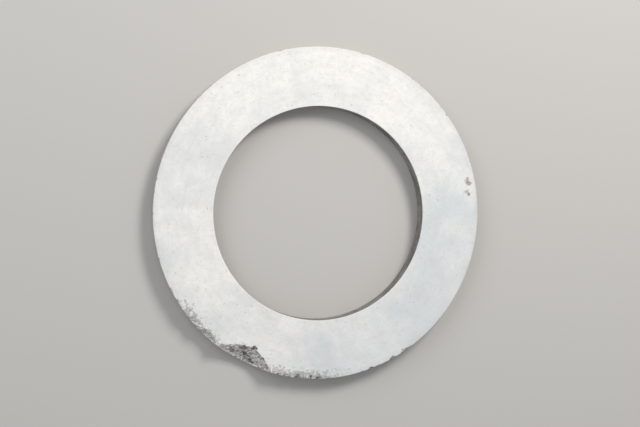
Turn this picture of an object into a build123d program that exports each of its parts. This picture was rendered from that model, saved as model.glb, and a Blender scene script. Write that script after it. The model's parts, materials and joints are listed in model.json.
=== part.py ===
from build123d import *
from collections import namedtuple
from math import sqrt
import os

# A flat concrete ring cast in one piece, lying on its moulded face with its trowelled face up.
# Sizes are in millimetres. The origin is the centre of the base, +Z is up,
# and an azimuth is an angle in degrees that turns from +X towards +Y.

# The ring as it left its mould
outer_diameter = 900.0
bore_diameter = 580.0
thickness = 50.0
rim_draft = 1.5        # the rim's radius is this much smaller at the base, so that the mould lifts off
mould_arris = 4.0      # radius of the two lower edges, rounded by the mould
trowelled_arris = 1.5  # width of the bevel on the two upper edges, dulled by the trowel

# Flakes knocked off the upper outer edge. A flake's mouth is a triangle in the face: two corners
# on the rim, at the azimuths start and end, and a corner at the azimuth apex that lies in from
# the rim by width. Below the apex the break comes out of the rim, at this depth under the face.
# Each of its two sides is part of a ball of the radius hollow: a large radius is a flat break.
Flake = namedtuple("Flake", "start apex end width depth hollow")

spalls = [
    Flake(start=232.3, apex=245.6, end=253.9, width=45.0, depth=31.0, hollow=210.0),
    Flake(start=222.8, apex=227.0, end=231.9, width=17.0, depth=15.0, hollow=70.0),
]

edge_flakes = [
    Flake(start=210.9, apex=211.9, end=213.0, width=7.0, depth=6.0, hollow=18.0),
    Flake(start=218.2, apex=220.4, end=221.8, width=13.0, depth=10.0, hollow=26.0),
    Flake(start=255.0, apex=256.9, end=257.8, width=6.0, depth=6.0, hollow=24.0),
    Flake(start=257.6, apex=259.0, end=261.3, width=9.0, depth=8.0, hollow=30.0),
    Flake(start=261.7, apex=263.5, end=264.6, width=15.0, depth=12.0, hollow=24.0),
    Flake(start=264.5, apex=265.1, end=266.6, width=6.0, depth=5.0, hollow=18.0),
    Flake(start=266.3, apex=267.7, end=268.8, width=12.0, depth=9.0, hollow=22.0),
    Flake(start=269.3, apex=271.3, end=272.2, width=7.0, depth=7.0, hollow=26.0),
    Flake(start=273.1, apex=273.8, end=275.4, width=4.0, depth=4.0, hollow=20.0),
    Flake(start=288.6, apex=289.5, end=291.4, width=4.0, depth=4.0, hollow=24.0),
    Flake(start=297.0, apex=298.9, end=299.8, width=7.0, depth=6.0, hollow=24.0),
    Flake(start=301.6, apex=302.6, end=304.9, width=7.0, depth=5.0, hollow=26.0),
]

# Holes in the upper face that a pebble of the mix has left. A pit lies this far in from the rim,
# its mouth is round, and its depth is measured from the face.
Pit = namedtuple("Pit", "azimuth inset mouth depth")

pits = [
    Pit(azimuth=240.6, inset=34.0, mouth=17.0, depth=7.0),
    Pit(azimuth=244.6, inset=45.0, mouth=18.0, depth=7.5),
    Pit(azimuth=8.0, inset=24.0, mouth=12.0, depth=2.4),
    Pit(azimuth=11.6, inset=18.0, mouth=16.0, depth=3.0),
]

rim_radius = outer_diameter / 2
bore_radius = bore_diameter / 2


def cast_ring():
    """The whole ring: its section turned once around +Z."""
    corners = [
        (bore_radius, 0),
        (rim_radius - rim_draft, 0),
        (rim_radius, thickness),
        (bore_radius, thickness),
    ]
    section = make_face(Polyline(corners, close=True))
    lower = section.vertices().group_by(Axis.Y)[0]
    section = fillet(lower, mould_arris)
    upper = section.vertices().group_by(Axis.Y)[-1]
    section = chamfer(upper, trowelled_arris)
    return revolve(Plane.XZ * section, Axis.Z)


def at_rim(azimuth, inset=0.0, below_face=0.0):
    """A point by its azimuth, how far in from the rim it lies, and how far below the face."""
    return Vector(rim_radius - inset, 0, thickness - below_face).rotate(Axis.Z, azimuth)


def ball_through(first, second, third, radius):
    """The ball of this radius with three points on its skin, its centre above them and its seam on top."""
    circle = ThreePointArc(first, second, third)
    normal = (second - first).cross(third - first).normalized()
    upward = normal if normal.Z > 0 else -normal
    centre = circle.arc_center + upward * sqrt(radius**2 - circle.radius**2)
    return Plane(centre, x_dir=upward, z_dir=second - first) * Sphere(radius)


def lost_flake(flake):
    """The concrete that one flake has taken: what lies above both sides of its break."""
    start, end = at_rim(flake.start - flake.apex), at_rim(flake.end - flake.apex)
    apex = at_rim(0, inset=flake.width)
    foot = at_rim(0, below_face=flake.depth)
    near_side = ball_through(start, apex, foot, flake.hollow)
    far_side = ball_through(apex, end, foot, flake.hollow)
    return Rot(Z=flake.apex) * (near_side & far_side)


def lost_pebble(pit):
    """A ball that dips into the upper face and leaves one pit."""
    radius = ((pit.mouth / 2) ** 2 + pit.depth**2) / (2 * pit.depth)
    ball = Pos(at_rim(0, inset=pit.inset, below_face=pit.depth - radius)) * Sphere(radius)
    return Rot(Z=pit.azimuth) * ball


def culvert_ring():
    """The ring with its broken edge."""
    ring = cast_ring()
    for flake in spalls + edge_flakes:
        ring -= lost_flake(flake)
    for pit in pits:
        ring -= lost_pebble(pit)
    return ring


os.makedirs("parts", exist_ok=True)
export_step(culvert_ring(), "parts/culvert_ring.step")
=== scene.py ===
import json
import math
import random

import bmesh
import bpy
from mathutils import Matrix, Vector, kdtree, noise
from mathutils.bvhtree import BVHTree


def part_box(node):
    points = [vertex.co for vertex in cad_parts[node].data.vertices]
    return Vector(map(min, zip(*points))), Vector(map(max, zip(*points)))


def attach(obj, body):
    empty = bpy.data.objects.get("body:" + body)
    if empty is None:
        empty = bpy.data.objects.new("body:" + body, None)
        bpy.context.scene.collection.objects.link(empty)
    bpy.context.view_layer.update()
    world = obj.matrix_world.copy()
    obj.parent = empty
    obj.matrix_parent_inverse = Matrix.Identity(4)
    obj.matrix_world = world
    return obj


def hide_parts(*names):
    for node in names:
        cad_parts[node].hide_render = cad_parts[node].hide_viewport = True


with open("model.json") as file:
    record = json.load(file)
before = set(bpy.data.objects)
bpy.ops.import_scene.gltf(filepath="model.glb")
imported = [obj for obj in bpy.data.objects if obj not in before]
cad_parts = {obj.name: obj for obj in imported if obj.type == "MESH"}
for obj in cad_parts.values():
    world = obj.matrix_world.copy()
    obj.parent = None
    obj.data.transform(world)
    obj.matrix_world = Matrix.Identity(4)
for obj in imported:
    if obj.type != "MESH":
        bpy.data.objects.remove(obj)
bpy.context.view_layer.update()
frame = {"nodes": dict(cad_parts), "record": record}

# The ring: one flat slab of pale concrete, cast in a round steel mould with its face up and
# trowelled smooth by hand. The mould rounds its lower edges. Its upper outer edge is spalled
# and chipped on the side that it was rolled and stood on.
cad_ring = frame["nodes"]["culvert_ring"]
ring_base, ring_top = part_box("culvert_ring")
thickness = ring_top.z - ring_base.z
bore = next(mount for mount in frame["record"]["mounts"] if mount["name"] == "bore")
bore_radius = bore["dims"]["r_mm"] / 1000
rim_radius = 0.450
rim_draft = 0.0015
mould_arris, mould_segments = 0.004, 4
trowelled_arris, trowelled_segments = 0.0015, 3
coarse_cell = 0.010
finest_cell = 0.0009
steps_round = 288
same_place = 1e-6

# The whole ring, as it left its mould: its section, turned once round the axis.
ring = bmesh.new()
outline = [
    (bore_radius, 0),
    (rim_radius - rim_draft, 0),
    (rim_radius, thickness),
    (bore_radius, thickness),
]
corners = [ring.verts.new((r, 0, z)) for r, z in outline]
for start, end in zip(corners, corners[1:] + corners[:1]):
    ring.edges.new((start, end))
edge_finishes = ((0, mould_arris, mould_segments), (thickness, trowelled_arris, trowelled_segments))
for level, arris, segments in edge_finishes:
    sharp = [v for v in ring.verts if abs(v.co.z - level) < same_place]
    bmesh.ops.bevel(
        ring, geom=sharp, offset=arris, segments=segments, profile=0.5, affect="VERTICES", material=-1
    )
# A narrow strip beside each arris keeps the flat faces flat in the light.
strip = 0.0012
shortest_flat_side = 0.02
for edge in [e for e in ring.edges if e.calc_length() > shortest_flat_side]:
    share = strip / edge.calc_length()
    far = edge.verts[1]
    middle, _ = bmesh.utils.edge_split(edge, edge.verts[0], share)
    long_part = middle if middle.calc_length() > edge.calc_length() else edge
    other, _ = bmesh.utils.edge_split(long_part, far, share)
    long_part = max((other, long_part), key=lambda e: e.calc_length())
    cuts = round(long_part.calc_length() / coarse_cell) - 1
    bmesh.ops.subdivide_edges(ring, edges=[long_part], cuts=cuts)
bmesh.ops.spin(
    ring,
    geom=ring.verts[:] + ring.edges[:],
    cent=(0, 0, 0),
    axis=(0, 0, 1),
    angle=math.tau,
    steps=steps_round,
    use_merge=True,
)
bmesh.ops.recalc_face_normals(ring, faces=ring.faces)

# The broken surfaces are those of the CAD ring that lie under the whole ring's skin.
skin_tolerance = 0.0006
sound = -1.0
whole_skin = BVHTree.FromBMesh(ring)
cad = bmesh.new()
cad.from_mesh(cad_ring.data)
bmesh.ops.remove_doubles(cad, verts=cad.verts, dist=same_place)
cad_skin = BVHTree.FromBMesh(cad)
untouched = [
    f for f in cad.faces if whole_skin.find_nearest(f.calc_center_median())[3] < skin_tolerance
]
bmesh.ops.delete(cad, geom=untouched, context="FACES")
broken_skin = BVHTree.FromBMesh(cad)
cad.free()

core_radius = 0.400
bore_skin = 0.001
ray_start = 0.004
longest_ray = 0.090
farthest_break = 0.060
thinnest_flake = 0.0004
# Waves are given by their width in metres and their height, here in radians and then in metres.
swerve_waves = ((0.019, 0.010), (0.006, 0.005))
ragged_waves = ((0.013, 0.0024), (0.005, 0.0018), (0.002, 0.0007))


def outward(point):
    """The way out of the slab at a point: from the core under the face for the top and the rim."""
    radius = math.hypot(point.x, point.y)
    around = Vector((point.x, point.y, 0)) / radius
    if radius < bore_radius + bore_skin:
        return -around
    return (point - around * min(radius, core_radius)).normalized()


def ripple(point, waves):
    """A random rise and fall at a point, summed over waves that are each a width and a height."""
    return sum(height * noise.noise(point / width) for width, height in waves)


def flaked_depth(point):
    """How deep the spalls and flakes go at a point of the skin, with a ragged outline."""
    asked = Matrix.Rotation(ripple(point, swerve_waves), 3, "Z") @ point
    distance = broken_skin.find_nearest(asked, farthest_break)[3]
    if distance is None or point.z < mould_arris:
        return sound
    out = outward(asked)
    depth = (cad_skin.ray_cast(asked + out * ray_start, -out, longest_ray)[3] or 0) - ray_start
    if depth < skin_tolerance:
        depth = -distance
    return depth + ripple(point, ragged_waves) - thinnest_flake


# Stretches of the upper outer arris that have crumbled: from and to in degrees, and how far in.
crumbled_stretches = (
    (205, 216, 0.0040),
    (215, 233, 0.0085),
    (250, 267, 0.0125),
    (262, 282, 0.0100),
    (284, 320, 0.0060),
)
stretch_fade = 3.0
stretch_bias = 0.12
worn_everywhere = 0.0022
wear_bias = -0.05
crumbled_reach = 0.022
decay_size = 0.014
slope_waves = ((0.004, 0.5),)
finer_by = 2.1


def crumbled_depth(point):
    """How deep the upper outer arris has crumbled at a point of the skin."""
    gap = math.hypot(rim_radius - math.hypot(point.x, point.y), thickness - point.z)
    if gap > crumbled_reach:
        return sound
    azimuth = math.degrees(math.atan2(point.y, point.x))
    decay = noise.fractal(point / decay_size, 0.9, finer_by, 5)
    depth = worn_everywhere * (decay + wear_bias)
    for first, last, deepest in crumbled_stretches:
        inside = (last - first) / 2 - abs((azimuth - (first + last) / 2 + 180) % 360 - 180)
        share = min(1, max(0, inside / stretch_fade))
        depth = max(depth, share * deepest * (decay + stretch_bias))
    return depth - gap * (1 + ripple(point, slope_waves))


# Holes that air bubbles left on the moulded walls, and nibbles out of the other arrises. Their radii
# lie between the two given, and a large bubble is rare.
inner_nibbles, inner_nibble_radii = 16, (0.0008, 0.0017)
lower_nibbles, lower_nibble_radii, lower_nibble_height = 14, (0.0018, 0.0034), 0.001
bubbles_a_wall, smallest_bubble, bubble_spread = 90, 0.0008, 0.0024
bubble_heights = (0.007, thickness - 0.004)
draw = random.Random(11)
hollows = []


def on_ring(azimuth, radius, height):
    """A point of the ring, from its azimuth in degrees and its distance from the axis."""
    turn = math.radians(azimuth)
    return Vector((radius * math.cos(turn), radius * math.sin(turn), height))


for _ in range(inner_nibbles):
    size = draw.uniform(*inner_nibble_radii)
    hollows.append((on_ring(draw.uniform(0, 360), bore_radius, thickness), size))
for _ in range(lower_nibbles):
    size = draw.uniform(*lower_nibble_radii)
    nibble = on_ring(draw.uniform(0, 360), rim_radius - rim_draft, lower_nibble_height)
    hollows.append((nibble, size))
for wall_radius in (rim_radius, bore_radius):
    for _ in range(bubbles_a_wall):
        height = draw.uniform(*bubble_heights)
        size = smallest_bubble + bubble_spread * draw.random() ** 3
        hollows.append((on_ring(draw.uniform(0, 360), wall_radius, height), size))
nearest_hollow = kdtree.KDTree(len(hollows))
for index, (centre, size) in enumerate(hollows):
    nearest_hollow.insert(centre, index)
nearest_hollow.balance()
largest_hollow = max(size for _, size in hollows)
hollow_share = 0.9
hollow_waves = ((0.0012, 0.25),)


def hollow_depth(point, reach=0.0):
    """How deep a bubble hole or nibble goes, or below 0, how far off the nearest within reach is."""
    depth = sound
    for _, index, distance in nearest_hollow.find_range(point, largest_hollow + reach):
        centre, size = hollows[index]
        if distance >= size:
            depth = max(depth, size - distance)
            continue
        offset = point - centre
        along = offset.dot(outward(point))
        across = offset.length_squared - along * along
        full_depth = along + math.sqrt(size * size - across)
        depth = max(depth, full_depth * (hollow_share + ripple(point, hollow_waves)))
    return depth


def lost_depth(point, reach=0.0):
    """How deep the concrete is lost at a point of the skin; below 0 where it is sound."""
    return max(flaked_depth(point), crumbled_depth(point), hollow_depth(point, reach))


# The skin is divided finer and finer the nearer it lies to what is lost.
finer_within = (0.0070, 0.0035, 0.0016, 0.0007)
for reach in finer_within:
    faces = [f for f in ring.faces if lost_depth(f.calc_center_median(), reach) > -reach]
    edges = {e for face in faces for e in face.edges if e.calc_length() > finest_cell}
    bmesh.ops.subdivide_edges(
        ring, edges=list(edges), cuts=1, use_grid_fill=True, use_single_edge=True
    )

# The broken stone: gritty mortar in soft lumps, with pebbles that stand out or have left a hole.
# Pebble radii and the warp of their outline are shares of the spacing, and a hole is deeper than a
# pebble is high by a factor.
pebble_spacing = 0.013
smallest_pebble, pebble_spread = 0.26, 0.24
pebble_warp, warp_size = 0.20, 0.0055
pebble_height = 0.0018
hole_factor = 1.2
holes_below = -0.35
smoother_on_pebble = 0.6
grit_size, grit_height = 0.0045, 0.0010
lump_size, lump_height = 0.020, 0.0016
kind_step = 7.3
# Blender seeds its noise vectors by the clock, unless it is given a seed as here.
noise.seed_set(11)


def fracture_relief(point):
    """How far a broken surface stands out, how much of it is pebble, and how pale the pebble is."""
    warped = point / pebble_spacing + pebble_warp * noise.noise_vector(point / warp_size)
    distances, centres = noise.voronoi(warped)
    kind = noise.cell(centres[0] * kind_step)
    size = smallest_pebble + pebble_spread * abs(kind)
    dome = max(0.0, 1 - (distances[0] / size) ** 2)
    grit = noise.fractal(point / grit_size, 0.8, finer_by, 4)
    lumps = noise.noise(point / lump_size)
    relief = grit_height * grit + lump_height * lumps
    if dome > 0:
        side = 1.0 if kind > holes_below else -hole_factor
        relief = relief * (1 - smoother_on_pebble * dome) + side * pebble_height * math.sqrt(dome)
    return relief, min(1.0, 4 * dome), 0.5 + 0.5 * kind


broken_layer = ring.verts.layers.float.new("broken")
pebble_layer = ring.verts.layers.float.new("pebble")
paleness_layer = ring.verts.layers.float.new("paleness")
full_relief_at = 0.003
all_broken_at = 0.0006
least_loss = 0.00005
moved = []
for vert in ring.verts:
    point = vert.co.copy()
    out = outward(point)
    depth = max(flaked_depth(point), crumbled_depth(point))
    if depth > 0:
        relief, vert[pebble_layer], vert[paleness_layer] = fracture_relief(point - out * depth)
        depth = max(least_loss, depth - relief * min(1, depth / full_relief_at))
        vert[broken_layer] = min(1, depth / all_broken_at)
    depth = max(depth, hollow_depth(point))
    if depth > 0:
        moved.append((vert, point - out * depth))
for vert, place in moved:
    vert.co = place

# The trowel leaves the face a few tenths of a millimetre out of true. The walls take part of this,
# less and less down to the height wave_bottom.
trowel_wave = 0.0004
wave_size = 0.09
wave_bottom = 0.040
for vert in ring.verts:
    lift = max(0, (vert.co.z - wave_bottom) / (thickness - wave_bottom))
    wave = 0.5 + 0.5 * noise.noise(vert.co / wave_size)
    vert.co.z -= trowel_wave * wave * lift
for face in ring.faces:
    face.smooth = True
ring_mesh = bpy.data.meshes.new("culvert_ring_concrete")
ring.to_mesh(ring_mesh)
ring.free()
ring_piece = bpy.data.objects.new("culvert_ring_concrete", ring_mesh)
bpy.context.scene.collection.objects.link(ring_piece)

concrete = bpy.data.materials.new("trowelled_concrete")
concrete.use_nodes = True
nodes, links = concrete.node_tree.nodes, concrete.node_tree.links
shader = nodes["Principled BSDF"]


def add(kind, inputs=None, **settings):
    """A node of the material in hand. An input is a value, or the output that it is linked to."""
    made = nodes.new("ShaderNode" + kind)
    for name, value in settings.items():
        setattr(made, name, value)
    for name, value in (inputs or {}).items():
        if isinstance(value, bpy.types.NodeSocket):
            links.new(value, made.inputs[name])
        else:
            made.inputs[name].default_value = value
    return made


def blend(share, one, other):
    """The colour one where share is 0, and other where it is 1."""
    colours = {0: share, 6: one, 7: other}
    colours = {k: (*v, 1) if isinstance(v, tuple) else v for k, v in colours.items()}
    return add("Mix", colours, data_type="RGBA").outputs[2]


def between(value, low, high, to_low=0.0, to_high=1.0):
    """The value as a share of the way from low to high, kept within the two ends."""
    ends = {"Value": value, "From Min": low, "From Max": high, "To Min": to_low, "To Max": to_high}
    return add("MapRange", ends).outputs["Result"]


def sum_of(one, other):
    """Two values added."""
    return add("Math", {0: one, 1: other}, operation="ADD").outputs[0]


def product(one, other):
    """Two values multiplied."""
    return add("Math", {0: one, 1: other}, operation="MULTIPLY").outputs[0]


def grain(size, detail=3.0, roughness=0.5, distortion=0.0, place=None):
    """A soft random pattern whose patches are about this many metres across."""
    return add("TexNoise", {
        "Vector": place or at, "Scale": 1 / size, "Detail": detail,
        "Roughness": roughness, "Distortion": distortion,
    }).outputs["Fac"]


at = add("TexCoord").outputs["Object"]
height = add("SeparateXYZ", {0: at}).outputs["Z"]
on_face = between(height, thickness - 0.0018, thickness - 0.0007)
broken = add("Attribute", attribute_name="broken").outputs["Fac"]
pebble = add("Attribute", attribute_name="pebble").outputs["Fac"]
paleness = add("Attribute", attribute_name="paleness").outputs["Fac"]

# Trowel sweeps run round the ring, so their pattern is drawn out along the circle.
flat_place = add("VectorMath", {0: at, 1: (1, 1, 0)}, operation="MULTIPLY").outputs[0]
radius = add("VectorMath", {0: flat_place}, operation="LENGTH").outputs["Value"]
flat_way = add("VectorMath", {0: flat_place}, operation="NORMALIZE").outputs[0]
way_round = add("SeparateXYZ", {0: flat_way})


def drawn_out(along, across):
    """A place for a pattern, drawn out to so many metres for each radian round the ring."""
    return add("CombineXYZ", {
        "X": product(way_round.outputs["X"], along),
        "Y": product(way_round.outputs["Y"], along),
        "Z": across,
    }).outputs[0]


sweeps = grain(0.012, detail=4.0, roughness=0.6, distortion=0.4, place=drawn_out(0.10, radius))

# The face is near white, with cool clouds of random tone and a painted cool shade that grows towards
# its lower right, dull blotches and fine specks.
face_white = (0.862, 0.842, 0.804)
face_cool_painted_shade = (0.650, 0.682, 0.694)
face_dull = (0.590, 0.580, 0.558)
face_speck = (0.430, 0.420, 0.400)
# Painted shade: the face turns cooler and bluer towards its lower right.
painted_shade_way = (0.60, -1.0, 0)
painted_shade_side = add("VectorMath", {0: at, 1: painted_shade_way}, operation="DOT_PRODUCT").outputs["Value"]
clouds_and_painted_shade = grain(0.20, detail=5.0, roughness=0.60, distortion=0.5)
clouds_and_painted_shade = between(sum_of(clouds_and_painted_shade, product(painted_shade_side, 0.24)), 0.36, 0.70)
blotches = between(grain(0.040, detail=5.0, roughness=0.62), 0.42, 0.70)
mottles = between(grain(0.011, detail=5.0, roughness=0.66), 0.44, 0.70)
specks = between(grain(0.0045, detail=2.0), 0.66, 0.74)
face_colour = blend(clouds_and_painted_shade, face_white, face_cool_painted_shade)
face_colour = blend(product(blotches, between(clouds_and_painted_shade, 0, 1, 0.20, 0.42)), face_colour, face_dull)
face_colour = blend(product(mottles, 0.30), face_colour, face_dull)
face_colour = blend(product(between(sweeps, 0.45, 0.75), 0.25), face_colour, face_dull)
face_colour = blend(product(specks, 0.45), face_colour, face_speck)
face_colour = blend(product(between(grain(0.0016), 0.55, 0.8), 0.35), face_colour, face_speck)
rim_grime = product(between(radius, rim_radius - 0.016, rim_radius - 0.002), 0.16)
face_colour = blend(rim_grime, face_colour, face_speck)

# The moulded walls are greyer, with the marks of water that ran down the mould. The bore is dark with
# dirt and painted shade.
wall_grey = (0.560, 0.545, 0.515)
wall_dark = (0.390, 0.375, 0.350)
wall_pale = (0.680, 0.668, 0.645)
wall_speck = (0.360, 0.345, 0.320)
# Dirt and painted shade on the bore wall.
bore_grime_and_painted_shade = (0.140, 0.126, 0.112)
run_place = drawn_out(0.45, product(height, 0.12))
runs = between(grain(0.016, detail=5.0, roughness=0.6, distortion=0.3, place=run_place), 0.42, 0.68)
wall_clouds = between(grain(0.06, detail=6.0, roughness=0.65), 0.38, 0.66)
wall_colour = blend(wall_clouds, wall_grey, wall_dark)
wall_colour = blend(product(runs, 0.45), wall_colour, wall_pale)
# Painted shade and dirt darken the whole bore wall, fading out over its top arris.
bore_grime_and_shade_share = between(radius, bore_radius + 0.0015, bore_radius + 0.0045, 0.92, 0.0)
bore_grime_and_shade_share = product(bore_grime_and_shade_share, between(grain(0.045, detail=5.0, roughness=0.65), 0.30, 0.62, 0.55, 1.0))
wall_colour = blend(bore_grime_and_shade_share, wall_colour, bore_grime_and_painted_shade)
wall_colour = blend(product(between(grain(0.002), 0.52, 0.75), 0.4), wall_colour, wall_speck)

# Broken concrete shows its mortar, and pebbles from dark grey over brown to pale.
mortar = (0.760, 0.743, 0.715)
mortar_dark = (0.320, 0.310, 0.295)
mortar_patches = between(grain(0.007, detail=5.0, roughness=0.7), 0.42, 0.60)
mortar_colour = blend(mortar_patches, mortar, mortar_dark)
darkest_pebble = (0.165, 0.158, 0.152, 1)
palest_pebble = (0.640, 0.615, 0.570, 1)
other_pebbles = (
    (0.30, (0.285, 0.272, 0.258, 1)),
    (0.48, (0.360, 0.290, 0.228, 1)),
    (0.66, (0.400, 0.385, 0.365, 1)),
)
pebble_tone = add("ValToRGB", {"Fac": sum_of(paleness, product(sum_of(grain(0.003), -0.5), 0.3))})
tones = pebble_tone.color_ramp.elements
tones[0].color, tones[1].color = darkest_pebble, palest_pebble
for place, tone in other_pebbles:
    tones.new(place).color = tone
fracture_colour = blend(pebble, mortar_colour, pebble_tone.outputs["Color"])


def near_azimuth(azimuth, end, full, strength=1.0):
    """The strength within full degrees of an azimuth, which fades to 0 at end degrees from it."""
    towards = tuple(on_ring(azimuth, 1.0, 0.0))
    facing = add("VectorMath", {0: flat_way, 1: towards}, operation="DOT_PRODUCT").outputs["Value"]
    return between(facing, math.cos(math.radians(end)), math.cos(math.radians(full)), 0.0, strength)


# Painted light: the shallow breaks to the left, and the left end of the large spall, face away from
# the key lamp and are painted paler.
painted_light_on_breaks = near_azimuth(220.0, end=21.0, full=14.0, strength=0.42)
# Painted light: these breaks are blended towards the pale wall colour.
fracture_colour = blend(painted_light_on_breaks, fracture_colour, wall_pale)

# Beside the crumbled stretches the smooth skin of the face is scuffed off in small patches. They lie
# between two distances from the rim, and each stretch has its azimuth, its end and where it is full.
scuffed_stretches = ((264.0, 21.0, 5.0), (223.0, 13.0, 3.0))
scuffed_from, scuffed_to = 0.034, 0.013
scuff_dark = (0.330, 0.320, 0.304)
near_rim = between(radius, rim_radius - scuffed_from, rim_radius - scuffed_to)
scuff_strength = 0.0
for azimuth, end, full in scuffed_stretches:
    scuff_strength = sum_of(near_azimuth(azimuth, end, full), scuff_strength)
scuff_strength = product(product(near_rim, scuff_strength), 0.25)
scuffs = between(sum_of(grain(0.0075, detail=5.0, roughness=0.68), scuff_strength), 0.62, 0.72)
scuffs = product(scuffs, on_face)
scuff_colour = blend(0.55, mortar_colour, scuff_dark)

colour = blend(on_face, wall_colour, face_colour)
colour = blend(scuffs, colour, scuff_colour)
colour = blend(broken, colour, fracture_colour)

# Dirt sits in holes that pebbles left, brown or grey in two near the arris, where it is smeared a
# little way beside them. The large spall's two holes and a chip of the arris are painted dark, partly
# dirt and partly painted shade in the hollow, and a broad painted shade darkens the broken stone
# below the spall's two holes. Each patch is given by its azimuth, its distance from the axis, its
# depth, its reach, and how thick the dirt and painted shade are.
brown_dirt = (0.220, 0.184, 0.165)
grey_dirt = (0.270, 0.250, 0.225)
# Dark dirt and painted shade, for the hollows of the spall and the arris.
dark_dirt_and_painted_shade = (0.135, 0.122, 0.112)
dirt_and_shade_edge = product(sum_of(grain(0.008, detail=3.0, roughness=0.6), -0.5), 0.022)
dirt_and_shade_patches = (
    (8.8, 0.423, 0.001, 0.0080, 0.58, grey_dirt),
    (9.1, 0.416, 0.001, 0.0065, 0.46, grey_dirt),
    (12.1, 0.429, 0.001, 0.0085, 0.66, brown_dirt),
    (13.5, 0.427, 0.001, 0.0075, 0.62, brown_dirt),
    # The spall's two holes and a chip of the arris: dark dirt and painted shade; the spall's middle:
    # painted shade.
    (240.9, 0.414, 0.005, 0.0115, 0.80, dark_dirt_and_painted_shade),
    (244.6, 0.405, 0.006, 0.0100, 0.35, dark_dirt_and_painted_shade),
    (270.4, 0.445, 0.003, 0.0085, 0.60, dark_dirt_and_painted_shade),
    (243.8, 0.425, 0.014, 0.0250, 0.26, dark_dirt_and_painted_shade),
)
for azimuth, from_axis, sunk, reach, thickest, dirt_and_shade_colour in dirt_and_shade_patches:
    middle = tuple(on_ring(azimuth, from_axis, thickness - sunk))
    away = add("VectorMath", {0: at, 1: middle}, operation="DISTANCE").outputs["Value"]
    dirt_and_shade_share = between(sum_of(away, dirt_and_shade_edge), 0.4 * reach, 1.1 * reach, thickest, 0.0)
    colour = blend(dirt_and_shade_share, colour, dirt_and_shade_colour)
links.new(colour, shader.inputs["Base Color"])

# The trowelled face has a faint sheen along the sweeps, and broken stone has none.
face_roughness = between(sweeps, 0.3, 0.7, 0.62, 0.78)
broken_roughness = 0.95
roughness = add("Mix", {0: broken, 2: face_roughness, 3: broken_roughness}, data_type="FLOAT")
links.new(roughness.outputs[0], shader.inputs["Roughness"])
shader.inputs["Specular IOR Level"].default_value = 0.35

fine_height = sum_of(grain(0.0011, detail=2.0), product(grain(0.006, detail=3.0), 1.5))
fine_bump = add("Bump", {"Height": fine_height, "Distance": 0.00012, "Strength": 0.6})
rough_share = sum_of(broken, product(scuffs, 0.5))
rough_bump = add("Bump", {
    "Height": product(rough_share, grain(0.0014, detail=4.0, roughness=0.65)),
    "Distance": 0.0008, "Strength": 0.9, "Normal": fine_bump.outputs["Normal"],
})
links.new(rough_bump.outputs["Normal"], shader.inputs["Normal"])

ring_mesh.materials.append(concrete)
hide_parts("culvert_ring")
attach(ring_piece, "root")

# The floor: a plain pale sheet that the ring lies on, so wide that its edge is never seen, and set a
# hair below the ring's base so that the two don't coincide.
floor_size = 60.0
floor_gap = 0.0003
floor_bm = bmesh.new()
bmesh.ops.create_grid(floor_bm, x_segments=1, y_segments=1, size=floor_size / 2)
bmesh.ops.translate(floor_bm, verts=floor_bm.verts, vec=(0, 0, ring_base.z - floor_gap))
floor_mesh = bpy.data.meshes.new("floor")
floor_bm.to_mesh(floor_mesh)
floor_bm.free()
floor = bpy.data.objects.new("floor", floor_mesh)
bpy.context.scene.collection.objects.link(floor)
floor_paint = bpy.data.materials.new("floor_paint")
floor_paint.use_nodes = True
nodes, links = floor_paint.node_tree.nodes, floor_paint.node_tree.links
floor_shader = nodes["Principled BSDF"]
floor_shader.inputs["Base Color"].default_value = (0.52, 0.505, 0.48, 1)
floor_shader.inputs["Roughness"].default_value = 0.9
# Far from the ring the floor shows the backdrop's own tone to the camera, so no horizon shows.
backdrop_tone = (0.470, 0.462, 0.448, 1)
fade_from, fade_to = 1.1, 3.4
floor_place = add("TexCoord").outputs["Object"]
distance = add("VectorMath", {0: floor_place}, operation="LENGTH").outputs["Value"]
far_off = product(between(distance, fade_from, fade_to), add("LightPath").outputs["Is Camera Ray"])
far_floor = add("Emission", {"Color": backdrop_tone, "Strength": 1.0})
whole_floor = add("MixShader", {0: far_off, 1: floor_shader.outputs[0], 2: far_floor.outputs[0]})
links.new(whole_floor.outputs[0], nodes["Material Output"].inputs["Surface"])
floor_mesh.materials.append(floor_paint)

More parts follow.
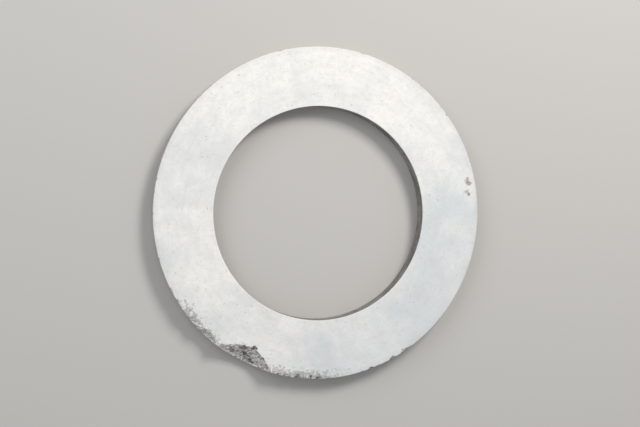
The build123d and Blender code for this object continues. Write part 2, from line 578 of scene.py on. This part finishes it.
# The light: a broad lamp from the upper right, as one looks down on the face, a weaker and broader
# one from the upper left, and a pale sky. The camera, and whatever is glossy or clear, sees the
# backdrop's tone in place of the sky.
world = bpy.data.worlds.new("studio")
world.use_nodes = True
nodes, links = world.node_tree.nodes, world.node_tree.links
sky = nodes["Background"]
sky.inputs["Color"].default_value = (0.93, 0.96, 1.0, 1)
sky.inputs["Strength"].default_value = 0.45
seen = add("LightPath").outputs
seen = sum_of(sum_of(seen["Is Camera Ray"], seen["Is Glossy Ray"]), seen["Is Transmission Ray"])
backdrop = add("Background", {"Color": backdrop_tone, "Strength": 1.0})
whole_sky = add("MixShader", {0: seen, 1: sky.outputs[0], 2: backdrop.outputs[0]})
links.new(whole_sky.outputs[0], nodes["World Output"].inputs["Surface"])
bpy.context.scene.world = world


def lamp(name, place, size, power, colour):
    """A square lamp at a place, facing the ring."""
    light = bpy.data.lights.new(name, "AREA")
    light.size = size
    light.energy = power
    light.color = colour
    made = bpy.data.objects.new(name, light)
    made.location = place
    made.rotation_euler = Vector(place).to_track_quat("Z", "Y").to_euler()
    made.visible_camera = False
    bpy.context.scene.collection.objects.link(made)


lamp("key", place=(1.6, 2.5, 3.1), size=1.4, power=125, colour=(1.0, 0.975, 0.94))
lamp("fill", place=(-2.5, 1.9, 2.7), size=2.6, power=48, colour=(0.97, 0.98, 1.0))

# The camera stands over the face as it did for the photograph, and looks at its middle. It is turned
# about its own line of sight by the small angle that puts the spall where the photograph has it.
camera_from_face = Vector((-0.747, 0.095, 3.281))
camera_turn = math.radians(1.2)
lens = 70.0
face_middle = Vector((0, 0, ring_top.z))
camera = bpy.data.objects.new("camera", bpy.data.cameras.new("camera"))
camera.data.lens = lens
back = camera_from_face.normalized()
upright = Vector((-math.sin(camera_turn), math.cos(camera_turn), 0))
right = upright.cross(back).normalized()
turn = Matrix((right, back.cross(right), back)).transposed()
camera.matrix_world = Matrix.Translation(face_middle + camera_from_face) @ turn.to_4x4()
bpy.context.scene.collection.objects.link(camera)
bpy.context.scene.camera = camera

bpy.context.scene.view_settings.view_transform = "Standard"
